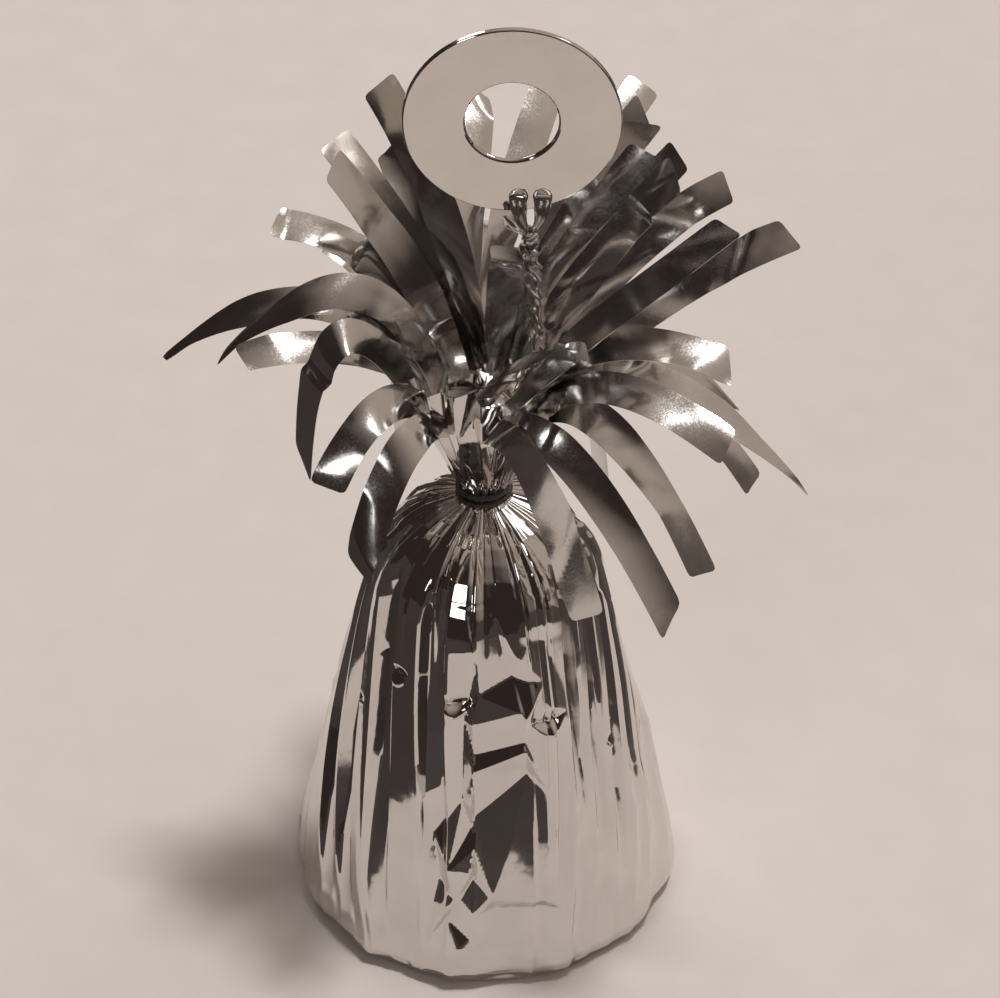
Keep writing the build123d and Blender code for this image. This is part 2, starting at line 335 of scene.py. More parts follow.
# %% wrap outline
wrap_outline = [
    (0, 0.1), (25.2, 0.1), (26.5, 0.3), (27.3, 0.9), (27.8, 1.8), (28.0, 3.0), (24.6, 17.0), (21.0, 32.0),
    (17.5, 47.0), (16.1, 53.0), (15.3, 56.2), (14.4, 58.6), (13.3, 60.6), (12.0, 62.4), (10.3, 64.0),
    (8.5, 65.4), (6.6, 66.5), (5.0, 67.3), (3.6, 68.0), (2.7, 68.8),
]
wrap_spacing, wrap_columns = 0.46, 380
wrap = spun_film(wrap_outline, wrap_spacing, wrap_columns)
print("the wrap is spun with", len(wrap.verts), "vertices")

# %% long panels
# each panel is (turn where it begins, height from which it leans back or 0, sideways tip in degrees)
long_panels = [
    (-92, 0, 2), (-80, 6, -2), (-70, 0, 4), (-66, 6, -2), (-57, 0, 3), (-50, 0, -3), (-48, 8, -3),
    (-39, 0, 2), (-25.5, 14, -8), (-16, 0, 0), (-5, 0, 0), (17.7, 0, 5), (34, 24, -6), (39, 0, 6),
    (44, 18, -7), (49, 0, 6), (55.5, 12, -8), (60, 0, 5), (66, 20, -5), (72, 0, 7), (78, 14, -6), (84, 0, 4),
]
panel_first = long_panels[0][0]
back_start, back_end, back_most = 90, 264, 60
back_widths, back_feet, back_tip = (4, 14), (6, 26), 8
back_turns = np.cumsum(draws.uniform(*back_widths, back_most)) + back_start
long_panels += [(turn, draws.uniform(*back_feet) * draws.integers(0, 2), draws.uniform(-back_tip, back_tip))
                for turn in back_turns if turn < back_end]
print(len(long_panels), "long panels round the bell")

lean_swell, lean_depth, lean_length = 0.6, 2.3, 25
upright_low, upright_gain, upright_band = 0.15, 0.4, (2, 14)
tip_low, tip_gain, tip_band = 0.3, 0.7, (1, 10)
wall_width = 0.7


def panel_push(index, turned, height, radius):
    # flat across; a leaning panel swells at its foot and goes in above it
    starts, feet, tips = np.array(long_panels).T
    widths = np.diff(np.append(starts, starts[0] + 360))
    across = np.clip((turned - starts[index]) / widths[index], 0, 1)
    foot = np.maximum(feet[index], 1)
    leaning_in = lean_swell - lean_depth * np.clip((height - foot) / lean_length, 0, 1)
    lean = np.where(height < foot, lean_swell * height / foot, leaning_in)
    upright = upright_low + upright_gain * ramp(height, *upright_band)
    push = np.where(feet[index] > 0, lean, upright)
    tip_share = tip_low + tip_gain * ramp(height, *tip_band)
    push += np.tan(np.radians(tips[index])) * (across - 0.5) * np.radians(widths[index]) * radius * tip_share
    return push - radius * flatness(across, widths[index])


def long_folds(lane, height, radius):
    # the panels, joined by narrow steep walls in which the push of two neighbours is mixed
    turned = (lane - panel_first) % 360 + panel_first
    starts = np.array(long_panels)[:, 0]
    index = np.searchsorted(starts, turned, side="right") - 1
    ends = np.append(starts[1:], starts[0] + 360)[index]
    near_start = turned - starts[index] < ends - turned
    beside = np.where(near_start, index - 1, index + 1) % len(starts)
    gap = np.minimum(turned - starts[index], ends - turned) * np.radians(1) * radius
    beside_turned = turned + np.where(near_start & (index == 0), 360, 0)
    beside_turned = beside_turned - np.where(~near_start & (beside == 0), 360, 0)
    share = np.clip(0.5 - gap / wall_width, 0, 0.5)
    own = panel_push(index, turned, height, radius)
    return own * (1 - share) + panel_push(beside, beside_turned, height, radius) * share


# %% gathers and fine creases
pleat_unevenness = 0.75
gather_count, gather_turn, gather_band = 27, 5, (46, 64)
gather_tips, gather_peaks = (0.15, 1), [0.12, 0.3, 0.7, 0.88]
gather_share, gather_most, gather_flat, gather_calm = 0.13, 1.5, 0.9, 0.8
crease_count, crease_turn, crease_fade = 56, 3, 8
crease_depths, crease_power, crease_ends = (0.1, 1), 1.8, (8, 62)
crease_share, crease_most, crease_calm = 0.08, 0.9, 0.85
crease_low, crease_neck_band = 0.5, (62, 67)


def gathers(lane, height, radius, calm):
    # uneven pleats at the shoulder and neck, weaker where the film is calm
    index, across, width = panels_round(lane + gather_turn, gather_count, pleat_unevenness)
    tips = draws.uniform(*gather_tips, gather_count)
    peaks = draws.choice(gather_peaks, gather_count)
    pleat = (tent(across, peaks[index]) - 0.5) * tips[index] * np.minimum(radius * gather_share, gather_most)
    pleat = pleat - radius * flatness(across, width) * gather_flat
    return ramp(height, *gather_band) * (1 - gather_calm * calm) * pleat


def fine_creases(lane, height, radius, loose, calm):
    # creases that come down from the neck, each to its own height
    index, across, _ = panels_round(lane + crease_turn, crease_count, pleat_unevenness)
    depths = draws.uniform(*crease_depths, crease_count) ** crease_power
    ends = draws.uniform(*crease_ends, crease_count)
    crease = (tent(across, 0.5) - 0.5) * depths[index]
    crease = crease * ramp(height, ends[index], ends[index] + crease_fade)
    crease = crease * (crease_low + crease_low * ramp(height, *crease_neck_band))
    crease = crease * np.minimum(radius * crease_share, crease_most)
    return crease * loose * (1 - crease_calm * calm)


# %% crumples
# the seam's net is (turn, height, push out)
front_crumple = [
    (-24, 60, 0.0), (-10, 60, 0.2), (4, 60, 0.0), (20, 60, 0.0), (-17, 54, 0.6), (-5.2, 54.5, 0.7),
    (-4, 54.5, 0.2), (14, 53, 0.3), (-16, 47.5, 0.5), (-5, 50.2, -0.5), (-2.2, 47.7, 0.1), (13.6, 49.6, -0.7),
    (15.3, 44.8, 0.7), (-16, 43, 0.3), (-9, 43.5, -0.6), (-5.2, 43.5, 0.6), (-4, 43.5, 0.5), (17, 43.5, 0.7),
    (-4, 38.4, -0.3), (16, 39.6, -0.2), (-4, 36.2, 0.5), (16, 38.4, 0.3), (-18, 32, 0.3), (-9, 31, -0.6),
    (-5.2, 31, 0.6), (-4, 28.4, -1.0), (17.4, 34, -1.5), (-4, 24, 0.2), (18, 15.1, 1.3), (2, 16.4, 1.3),
    (-19.2, 24.4, -0.5), (-5, 26.4, -0.8), (-4.8, 20.2, 0.8), (-12.6, 20.7, 0.9), (18, 13.4, 0.0),
    (3, 13.8, 0.2), (17.3, 12.9, -0.6), (-0.1, 6.6, 0.7), (8.5, 7, 0.8), (-15.2, 17.8, -0.4),
    (-4.3, 18.8, -0.6), (-9, 16, 0.6), (-12.8, 13.9, 0.7), (-4.1, 13, 0.6), (-11.7, 12.2, -0.5),
    (-4.5, 9.3, 0.2), (-8.3, 7.3, 0.8), (-20, 6, 0.0), (22, 6, 0.0), (-20, 2, 0.0), (22, 2, 0.0),
    (-26, 30, 0.0), (26, 30, 0.0), (-26, 12, 0.0), (26, 12, 0.0), (-26, 48, 0.0), (27, 48, 0.0),
]
# the other nets are (gap round, gap up, top, push) for loose_net
patch_net, crumple_net, foot_net = (40, 20, 70, 1.0), (15, 7.5, 68, 0.7), (9, 2.4, 16, 0.3)
patch_lift, patch_least = 0.45, 0.1
crumple_band, crumple_seam = (0.1, 3), 0.8
foot_band, foot_seam, foot_back, foot_back_band = (3, 9), 0.6, 0.6, (70, 110)
seam_gain, crumple_radius = 1.4, 12


def crumples(front, height, radius, side, seam, loose):
    # loose all round but for the smooth left, small along the foot, and sharp along the front seam
    patch = np.clip(facets(loose_net(*patch_net), front, height) + patch_lift, patch_least, 1)
    crumple = facets(loose_net(*crumple_net), front, height) * ramp(height, *crumple_band)
    crumple = crumple * (1 - seam * crumple_seam) * patch * loose
    foot = facets(loose_net(*foot_net), front, height) * side
    foot = foot * (1 - foot_back * ramp(np.abs(front), *foot_back_band))
    crumple += foot * (1 - ramp(height, *foot_band)) * (1 - seam * foot_seam)
    crumple += facets(front_crumple, front, height) * np.clip(seam * seam_gain, 0, 1)
    return crumple * np.clip(radius / crumple_radius, 0, 1)


# %% pockets
# each pocket is (turn, height, half width, depth)
pockets = [(-42, 48, 1.9, 0.8), (-12.6, 46.6, 2.4, 0.9), (27.2, 42.6, 2.6, 0.9), (-62, 40, 1.0, 0.5),
           (57, 34, 1.4, 0.7)]
pocket_down_shares, pocket_push_shares = (-0.45, 0.45, 0.7, 1.0, 1.3), (0, -1, -0.1, 0.4, 0)
pocket_least_edge = 0.05


def pocket_push(front, height, radius, turn, level, half, depth):
    # a flat lid that slopes in, over a small rounded bag
    edge = np.clip(1 - (np.radians(front - turn) * radius / half) ** 2, 0, 1)
    down = (level - height) / half / np.maximum(edge, pocket_least_edge)
    return depth * edge * np.interp(down, pocket_down_shares, pocket_push_shares)


# %% wrap folds
base_edge_band = (0.1, 1.5)
lane_pull = 25
# creases fan out upwards, and each sway is (degrees, mm of height to a radian, waves round the bell)
fan_rate, fan_level, fan_top, fan_end, fan_fade = 0.011, 28, 60, 150, 60
sways = ((1.2, 15, 2), (0.5, 6.3, 5))
seam_half, seam_fade = 20, 8
smooth_middle, smooth_half, smooth_fade, smooth_top_band = -40, 52, 12, (48, 58)
loose_least, loose_gain = 0.15, 0.85
calm_middle, calm_spread, calm_low_band, calm_high_band = -12, 11, (48, 53), (62, 66)
base_sides, base_turn, base_unevenness = 10, 14, 0.22
base_flat, base_flat_loss, base_band = 0.5, 0.4, (4, 40)
panel_end_band = (56, 65)
cup_heights = (0, 3, 15, 29, 43, 55, 60, 62, 63)
cup_radii = (26.3, 26.2, 23.1, 19.7, 16.45, 13.8, 12.2, 10.8, 0)
under_height, under_share, middle_radius = 0.2, 0.6, 0.01


def wrap_folds(places):
    x, y, height = places.T
    radius = np.hypot(x, y)
    side = ramp(height, *base_edge_band)
    # each column of vertices keeps to one lane, closer together at the front, so creases run along columns
    lane = (np.degrees(np.arctan2(y, x)) + 270) % 360 - 180
    lane = lane - lane_pull * np.sin(np.radians(lane))
    spread = np.clip((fan_end - np.abs(lane)) / fan_fade, 0, 1)
    front = lane * (1 + fan_rate * (np.clip(height, 0, fan_top) - fan_level) * spread)
    for sway, pitch, waves in sways:
        front = front + sway * np.sin(height / pitch + np.radians(lane) * waves)
    # the seam lies at the front, the left is smooth, and the shoulder above the seam is calm
    seam = np.clip(1 - (np.abs(front) - seam_half) / seam_fade, 0, 1)
    off_smooth = np.clip((np.abs(front - smooth_middle) - smooth_half) / smooth_fade, 0, 1)
    loose = loose_least + loose_gain * np.maximum(off_smooth, ramp(height, *smooth_top_band))
    calm = np.exp(-((front - calm_middle) / calm_spread) ** 2) * ramp(height, *calm_low_band)
    calm = calm * (1 - ramp(height, *calm_high_band))
    # the layers, from coarse to fine
    _, across, width = panels_round(lane + base_turn, base_sides, base_unevenness)
    push = -radius * flatness(across, width) * (base_flat - base_flat_loss * ramp(height, *base_band))
    push += side * long_folds(lane, height, radius) * (1 - ramp(height, *panel_end_band))
    push += gathers(lane, height, radius, calm)
    push += fine_creases(lane, height, radius, loose, calm)
    push += crumples(front, height, radius, side, seam, loose)
    for pocket in pockets:
        push += pocket_push(front, height, radius, *pocket)
    # the film lies on the cup where a fold reaches it, moves less under the base, and stays at the middle
    cup_radius = np.interp(height, cup_heights, cup_radii)
    new_radius = np.maximum(radius + push, np.minimum(cup_radius, radius))
    new_radius = np.where(height < under_height, radius + (new_radius - radius) * under_share, new_radius)
    new_radius = new_radius * np.where(radius > middle_radius, 1, 0)
    turn = np.radians(front)
    return np.column_stack((new_radius * np.sin(turn), -new_radius * np.cos(turn), height))


# %% wrap
under_top = 0.15
reshape(wrap, wrap_folds)
under = wrap.copy()
for film, keep_low in ((wrap, False), (under, True)):
    spare = [face for face in film.faces
             if (max(vert.co.z for vert in face.verts) < under_top * MM) != keep_low]
    bmesh.ops.delete(film, geom=spare, context="FACES")
bell = add_piece(wrap, "film_wrap", wrap_film, "base", "wrap_film", "foil_wrap", sharp_angle=45)
foot = add_piece(under, "film_base", wrap_film, "base", "wrap_film")

# %% [markdown]
# ## The gathered collar
# Above the tie the same film opens out again in deep pleats, like the top of a paper-wrapped sweet. It is
# spun as a cup with a shallow floor, on which the strips stand. Its pleats deepen towards the rim, the rim is
# cut unevenly, and the floor is dented where the tail comes out of it.

# %% collar
collar_outline = [
    (0, 67.2), (2.9, 67.2), (3.05, 68.4), (3.05, 69.8), (3.5, 71.0), (4.5, 73.0), (5.8, 76.4), (7.2, 80.2),
    (8.6, 83.8), (9.2, 86.2), (9.7, 89.0), (10.0, 91.6), (9.85, 91.7), (9.5, 89.0), (8.9, 86.2), (8.0, 85.2),
    (6.2, 85.6), (4.0, 86.0), (0, 86.2),
]
collar_spacing, collar_columns = 0.6, 300
collar = spun_film(collar_outline, collar_spacing, collar_columns)

collar_unevenness, collar_band = 0.4, (70, 86)
pleat_count, pleat_tips, pleat_peaks = 13, (0.5, 1), [0.2, 0.5, 0.8]
pleat_low, pleat_gain = 0.35, 1.5
rim_cut_from, rim_cuts, rim_slant, rim_slant_peak = 86, (-0.9, 0.25), 0.3, 0.4
ruck_count, ruck_depth, ruck_band = 40, 0.3, (70, 76)
collar_net, collar_net_low, collar_net_share = (26, 9, 60, 0.25), 70, 0.4
floor_low, floor_radius, floor_share = 84.5, 8.7, 0.3
collar_full_radius, collar_least_radius = 2.5, 0.5
tail_foot = (5.0, -0.8)
dent_radius, dent_depth = 2.7, 2.0


def collar_folds(places):
    x, y, height = places.T
    radius = np.hypot(x, y)
    angle = np.degrees(np.arctan2(y, x))
    rise = ramp(height, *collar_band)
    floor = (height > floor_low) & (radius < floor_radius)
    index, across, _ = panels_round(angle, pleat_count, collar_unevenness)
    tips = draws.uniform(*pleat_tips, pleat_count)
    peaks = draws.choice(pleat_peaks, pleat_count)
    tops = draws.uniform(*rim_cuts, pleat_count)
    push = (tent(across, peaks[index]) - 0.5) * tips[index] * (pleat_low + pleat_gain * rise)
    slant = tops[index] + rim_slant * (across - 0.5) * np.sign(peaks[index] - rim_slant_peak)
    cut = np.where(floor, 0, np.maximum(height - rim_cut_from, 0)) * slant
    _, across, _ = panels_round(angle, ruck_count, collar_unevenness)
    push += (tent(across, 0.5) - 0.5) * ruck_depth * (1 - ramp(height, *ruck_band))
    net = [(turn, up * collar_net_share + collar_net_low, lift) for turn, up, lift in loose_net(*collar_net)]
    push += facets(net, (angle + 180) % 360 - 180, height) * rise
    push *= np.where(floor, floor_share, 1)
    scale = 1 + push * np.clip(radius / collar_full_radius, 0, 1) / np.maximum(radius, collar_least_radius)
    away = np.hypot(x - tail_foot[0], y - tail_foot[1])
    sunk = np.clip(1 - away / dent_radius, 0, 1) * np.where(floor, dent_depth, 0)
    return np.column_stack((x * scale, y * scale, height - sunk + cut))


reshape(collar, collar_folds)
cup = add_piece(collar, "film_collar", wrap_film, "base", "wrap_film", "gathered_collar", sharp_angle=20)

# %% [markdown]
# ## Routes
# Strips and tails follow smooth lines. A NURBS curve of order three through a few control points gives such a
# line: with three points it is one clean bow. Blender turns the curve into a chain of vertices, and those are
# read.

# %% routes
def route_through(controls, resolution):
    line = bpy.data.curves.new("route", "CURVE")
    line.dimensions = "3D"
    spline = line.splines.new("NURBS")
    spline.points.add(len(controls) - 1)
    for point, control in zip(spline.points, controls):
        point.co = (*control, 1)
    spline.order_u = 3
    spline.use_endpoint_u = True
    spline.resolution_u = resolution
    holder = bpy.data.objects.new("route", line)
    chain = bpy.data.meshes.new_from_object(holder)
    places = np.array([vert.co for vert in chain.vertices])
    bpy.data.objects.remove(holder)
    bpy.data.meshes.remove(chain)
    bpy.data.curves.remove(line)
    return places


def polar(angle, radius, height):
    return (radius * math.cos(math.radians(angle)), radius * math.sin(math.radians(angle)), height)


def unit(rows):
    return rows / np.linalg.norm(rows, axis=-1, keepdims=True)


# %% [markdown]
# ## The fringe
# Each strip bows out of the collar and turns from edge-on to flat on its way, as its CAD solid does. The film
# is thin, so it also has kinks across it, a slight curl along its edges, a crease along some strips, and an
# end cut off a little askew with rounded corners. The table repeats the CAD model's rows, with lengths in mm:
# root angle, step, crown out and up, tip angle, reach, rise, and the two turns.

# %% fringe table
root_steps = ((8.4, 86.0), (6.0, 86.6), (3.4, 87.2))
strip_rows = [
    (-1, 0, 12, 15, 4, 40, 23, 65, 30), (11, 0, 9, 15, 10, 35, -9, 65, 25),
    (27, 0, 8, 18, 16, 33, 26, 65, 30), (40, 0, 8, 15, 31, 30, 27, 65, 30),
    (54, 0, 11, 12, 37, 21, -27, 65, 15), (67, 0, 10, 15, 57, 40, 26, 65, 25),
    (81, 0, 11, 12, 64, 20, -25, 65, 15), (95, 0, 10, 18, 86, 36, 0, 65, 15),
    (113, 0, 10, 18, 110, 36, 0, -65, -15), (131, 0, 11, 14, 127, 17, -25, -65, -15),
    (152, 0, 5, 14, 150, 23, 16, -65, -20), (172, 0, 9, 24, 171, 43, 0, -65, -15),
    (-156, 0, 14, 32, -155, 26, -5, -65, -15), (-140, 0, 8, 13, -138, 27, -2, -65, -25),
    (-124, 0, 10, 9, -126, 28, -13, -65, -10), (-104, 0, 6, 20, -42, 18, 15, 55, -30),
    (-89, 0, 9, 8, -50, 21, -26, 65, 15), (-73, 0, 9, 10, -41, 33, -23, 65, 5),
    (-52, 0, 8, 17, -38, 39, 9, 65, 15), (-39, 0, 10, 12, -28, 33, -20, 65, 10),
    (-26, 0, 14, 19, -18, 44, -7, 65, 15), (-13, 0, 12, 14, -9, 36, -12, 65, 15),
    (24, 1, 5, 15, 8, 25, 32, 65, 35), (42, 1, 4, 15, 22, 23, 32, 65, 30),
    (58, 1, 5, 15, 40, 28, 31, 65, 25), (75, 1, 6, 15, 48, 33, 28, 65, 25),
    (92, 1, 5, 15, 75, 33, 26, 65, 20), (109, 1, 5, 15, 91, 33, 26, 65, 20),
    (134, 1, 5, 15, 116, 28, 22, -65, -25), (154, 1, 6, 22, 165, 28, 22, -65, -15),
    (175, 1, 8, 29, 181, 35, 5, -65, -15), (-170, 1, 8, 13, -168, 32, 10, -65, -20),
    (-140, 1, 3, 12, -135, 15, 17, -65, -50), (-62, 1, 10, 17, -12, 32, 31, 65, 30),
    (-42, 1, 8, 19, -24, 35, 14, 65, 20), (96, 2, 4, 22, 132, 20, 38, -60, -25),
    (128, 2, 6, 16, 147, 23, 31, -65, -25), (160, 2, 5, 18, 160, 21, 31, -65, -25),
    (54, 2, 2, 8, 66, 8, 18, 65, 30),
]
pointed = (2, 12, 21, 31)
print(len(strip_rows), "strips")

# %% fringe values
root_sink, route_fineness = 0.6, 60
strip_columns, strip_lines, strip_thick = 8, 72, 0.06
strip_wide, root_wide, wide_gain, wide_from_share, turned_share = 4.8, 3.2, 1.6, 0.4, 0.8
corner_start, corner_radius, least_corner = 1.85, 0.55, 1e-6
point_loss, point_band = 0.85, (0.7, 1.05)
kink_count, kink_band = 4, (0.15, 0.95)
kink_lift, kink_lift_shares, kink_twist, kink_twist_shares = 0.6, (0.5, 1), 16, (0.4, 1)
slant_most, slant_share, askew_most, curl_most, curl_level = 0.25, 0.5, 0.03, 0.25, 0.4
crease_lift, crease_off, crease_waves = 0.9, 0.25, 7

# %% fringe strips
def film_strip(number, row):
    root_angle, step, crown_out, crown_up, tip_angle, reach, rise, root_turn, tip_turn = row
    radius, height = root_steps[step]
    route = route_through([polar(root_angle, radius, height - root_sink),
                           polar((root_angle + tip_angle) / 2, radius + crown_out, height + crown_up),
                           polar(tip_angle, reach, root_steps[0][1] + rise)], route_fineness)
    headings = unit(np.gradient(route, axis=0))
    marks = np.linspace(0, 1, len(route))
    stops = kink_count + 2
    kinks = np.concatenate(([0], np.sort(draws.uniform(*kink_band, kink_count)), [1]))
    offsets = draws.uniform(-kink_lift, kink_lift, stops) * np.linspace(*kink_lift_shares, stops)
    twists = draws.uniform(-kink_twist, kink_twist, stops) * np.linspace(*kink_twist_shares, stops)
    slant = draws.uniform(-slant_most, slant_most)
    askew = draws.uniform(-askew_most, askew_most)
    curl = draws.uniform(-curl_most, curl_most)
    crease = draws.uniform(-crease_lift, crease_lift) * draws.integers(0, 2)
    crease_at = draws.uniform(-crease_off, crease_off)
    length = np.linalg.norm(np.diff(route, axis=0), axis=1).sum()
    bm = bmesh.new()
    bmesh.ops.create_grid(bm, x_segments=strip_columns, y_segments=strip_lines, size=0.5)

    def lay(places):
        # the grid is one unit square: out runs across the strip from its middle, and share along it
        out, share = places[:, 0] * MM, places[:, 1] * MM + 0.5
        # the corners of the cut end are rounded
        in_side = np.maximum(np.abs(out) * strip_wide - corner_start, 0)
        in_end = np.maximum((share - 1) * length + corner_radius, 0)
        inside = (in_side > 0) & (in_end > 0)
        pull = np.maximum(in_side, in_end) / np.maximum(np.hypot(in_side, in_end), least_corner)
        pull = np.where(inside, pull, 1)
        out = np.where(inside, np.sign(out) * (corner_start + in_side * pull) / strip_wide, out)
        share = np.where(inside, 1 + (in_end * pull - corner_radius) / length, share)
        share = np.clip(share * (1 - abs(askew) - askew * out * 2), 0, 1)
        # the place and the three directions of the strip there
        spot = np.column_stack([np.interp(share, marks, route[:, axis]) for axis in range(3)])
        along = unit(np.column_stack([np.interp(share, marks, headings[:, axis]) for axis in range(3)]))
        heading = np.radians(root_angle + (tip_angle - root_angle) * share)
        side = np.column_stack((-np.sin(heading), np.cos(heading), np.zeros_like(heading)))
        side = unit(side - along * (side * along).sum(axis=1, keepdims=True))
        kinked = np.clip(share + slant * out * slant_share, 0, 1)
        turn = root_turn + (tip_turn - root_turn) * np.minimum(1, share / turned_share)
        turn = np.radians(turn + np.interp(kinked, kinks, twists))[:, None]
        across = side * np.cos(turn) + np.cross(along, side) * np.sin(turn)
        lift = np.cross(along, across)
        # its width, and how far it leaves the route
        width = root_wide + wide_gain * np.minimum(1, share / wide_from_share)
        if number in pointed:
            width = width * (1 - point_loss * ramp(share, *point_band))
        rise_off = np.interp(kinked, kinks, offsets) + curl * (out**2 * 4 - curl_level)
        rise_off += crease * np.abs(out - crease_at) * np.sin(share * crease_waves + number)
        return spot + across * (out * width)[:, None] + lift * rise_off[:, None]

    reshape(bm, lay)
    bmesh.ops.recalc_face_normals(bm, faces=bm.faces[:])
    bmesh.ops.solidify(bm, geom=bm.faces[:], thickness=strip_thick * MM)
    name = f"film_strip_{number:02d}"
    return add_piece(bm, name, strip_film, "base", "fringe_film", f"fringe_strip_{number:02d}")


strips = [film_strip(number, row) for number, row in enumerate(strip_rows, start=1)]

# %% [markdown]
# ## The neck tie
# Two turns of dark thread hold the neck. A small circle is spun round the neck with a step upwards at each
# turn, which makes a screw. The lay of the thread, two plies twisted together, is then pressed into it.

# %% neck tie
def wound_coil(middle, radius, low, thick, sides, turns, steps, climb):
    # a circle of the coil's thickness, stood upright and spun upwards round the middle
    bm = bmesh.new()
    circle = bmesh.ops.create_circle(bm, segments=sides, radius=thick * MM)["verts"]
    bmesh.ops.rotate(bm, verts=circle, matrix=Matrix.Rotation(math.pi / 2, 3, "X"))
    bmesh.ops.translate(bm, verts=circle, vec=((middle[0] + radius) * MM, middle[1] * MM, low * MM))
    bmesh.ops.spin(bm, geom=bm.verts[:] + bm.edges[:], cent=(middle[0] * MM, middle[1] * MM, 0),
                   axis=(0, 0, 1), angle=math.tau * turns, steps=steps, dvec=(0, 0, climb / steps * MM))
    bmesh.ops.holes_fill(bm, edges=bm.edges[:], sides=sides)
    bmesh.ops.recalc_face_normals(bm, faces=bm.faces[:])
    return bm


tie_low, tie_rise, tie_radius, tie_turns, tie_thick = 68.15, 1.25, 3.48, 2, 0.4
ply_count, ply_twist, ply_depth = 2, 26, 0.13
thread = wound_coil((0, 0), tie_radius, tie_low, tie_thick, sides=12, turns=tie_turns, steps=240,
                    climb=tie_rise * tie_turns)


def thread_lay(places):
    x, y, height = places.T
    turn = np.arctan2(y, x) % math.tau
    radius = np.hypot(x, y)
    lift = (height - tie_low - tie_rise * turn / math.tau + tie_rise / 2) % tie_rise - tie_rise / 2
    around = np.arctan2(lift, radius - tie_radius)
    swell = 1 + ply_depth * np.cos(ply_count * around + ply_twist * turn)
    new_radius = tie_radius + (radius - tie_radius) * swell
    return np.column_stack((np.cos(turn) * new_radius, np.sin(turn) * new_radius,
                            height + lift * (swell - 1)))


reshape(thread, thread_lay)
add_piece(thread, "tie_thread", tie_finish, "base", "tie_thread", "neck_tie")

# %% [markdown]
# ## The tail, its loop and its knot
# A ribbon of film, twisted into a tail, rises from the collar. It ends in a knot with a short free end, and
# from the knot a loop goes through two small holes in the ring. Tail, loop and free end are tubes whose
# section isn't round: the tail has three lobes that turn along it, and the other two are flat, with ribs
# where the film is crushed. The loop is given no body, and stays where it is made.

# %% tubes along routes
first_side = (0.3, 1, 0.2)


def tube_along(controls, resolution, section, around):
    # section(share, turn) gives the two offsets from the route, in mm, of a point of the tube's skin
    route = route_through(controls, resolution)
    headings = unit(np.gradient(route, axis=0))
    sides = [unit(np.cross(headings[0], first_side))]
    for heading in headings[1:]:
        sides.append(unit(sides[-1] - heading * np.dot(sides[-1], heading)))
    sides = np.array(sides)
    ups = np.cross(headings, sides)
    steps = len(route) - 1
    bm = add_chain([(MM, 0, step * MM) for step in range(steps + 1)])
    spin_chain(bm, around)

    def bend(places):
        step = np.clip(np.round(places[:, 2]).astype(int), 0, steps)
        turn = np.arctan2(places[:, 1], places[:, 0])
        out, over = section(step / steps, turn)
        return route[step] + sides[step] * out[:, None] + ups[step] * over[:, None]

    reshape(bm, bend)
    bmesh.ops.holes_fill(bm, edges=bm.edges[:], sides=around)
    bmesh.ops.recalc_face_normals(bm, faces=bm.faces[:])
    return bm


# %% tail
tail_radius, lobe_count, lobe_depth, lobe_twist = 1.0, 3, 0.28, 26
twist_drift, twist_drift_rate = 0.8, 31
wrinkle_count, wrinkle_depth, wrinkle_twist = 5, 0.08, 60
swell_level, swell_depth, swell_rate = 1.02, 0.14, 47
tail_route = [(*tail_foot, 84.9), (6.0, -1.0, 90.0), (7.0, -1.2, 96.0), (6.7, -1.4, 103.0),
              (6.0, -1.6, 108.0), (5.95, -1.6, 110.2)]


def tail_section(share, turn):
    swing = turn * lobe_count + share * lobe_twist + np.sin(share * twist_drift_rate) * twist_drift
    wrinkles = wrinkle_depth * np.sin(turn * wrinkle_count + share * wrinkle_twist)
    size = tail_radius + lobe_depth * np.cos(swing) + wrinkles
    size = size * (swell_level + swell_depth * np.sin(share * swell_rate))
    return size * np.cos(turn), size * np.sin(turn)


tail = tube_along(tail_route, resolution=40, section=tail_section, around=36)
add_piece(tail, "tether_tail", strip_film, "tether", "tether_film", "tether_stalk")

# %% loop
loop_way_shares = (0, 0.08, 0.16, 0.21, 0.26, 0.31, 0.5)
loop_half_widths = (0.4, 0.65, 1.15, 1.2, 1.0, 0.75, 0.5)
loop_rib_way_shares, loop_rib_shares = (0, 0.1, 0.18, 0.23), (0.2, 1, 1, 0)
loop_half_thick, loop_rib_depth, loop_rib_rate = 0.16, 0.22, 9
loop_route = [
    (5.5, -1.6, 111.4), (5.35, -2.0, 112.8), (4.6, -2.2, 114.8), (4.35, -2.0, 116.3), (4.35, -2.0, 118.0),
    (4.45, -1.2, 117.8), (4.5, 0.1, 117.4), (5.0, 0.5, 117.3), (6.9, 0.5, 117.3), (7.4, 0.1, 117.4),
    (7.45, -1.2, 117.8), (7.55, -2.0, 117.9), (7.55, -2.0, 116.1), (7.3, -2.2, 114.8), (6.6, -2.0, 112.8),
    (6.4, -1.6, 111.4),
]


def loop_section(share, turn):
    # narrow at the knot, spread into ribs where it lies on the ring, then drawn together through the hole
    way = np.minimum(share, 1 - share)
    flat = np.interp(way, loop_way_shares, loop_half_widths)
    ribs = loop_rib_depth * np.interp(way, loop_rib_way_shares, loop_rib_shares)
    return flat * np.cos(turn), loop_half_thick * np.sin(turn) + ribs * np.cos(np.cos(turn) * loop_rib_rate)


loop = tube_along(loop_route, resolution=16, section=loop_section, around=40)
# the loop is given no body, and its place is baked into its mesh
loop_piece = add_piece(loop, "tether_loop_film", strip_film, None, "tether_film", "tether_loop")
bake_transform(loop_piece)

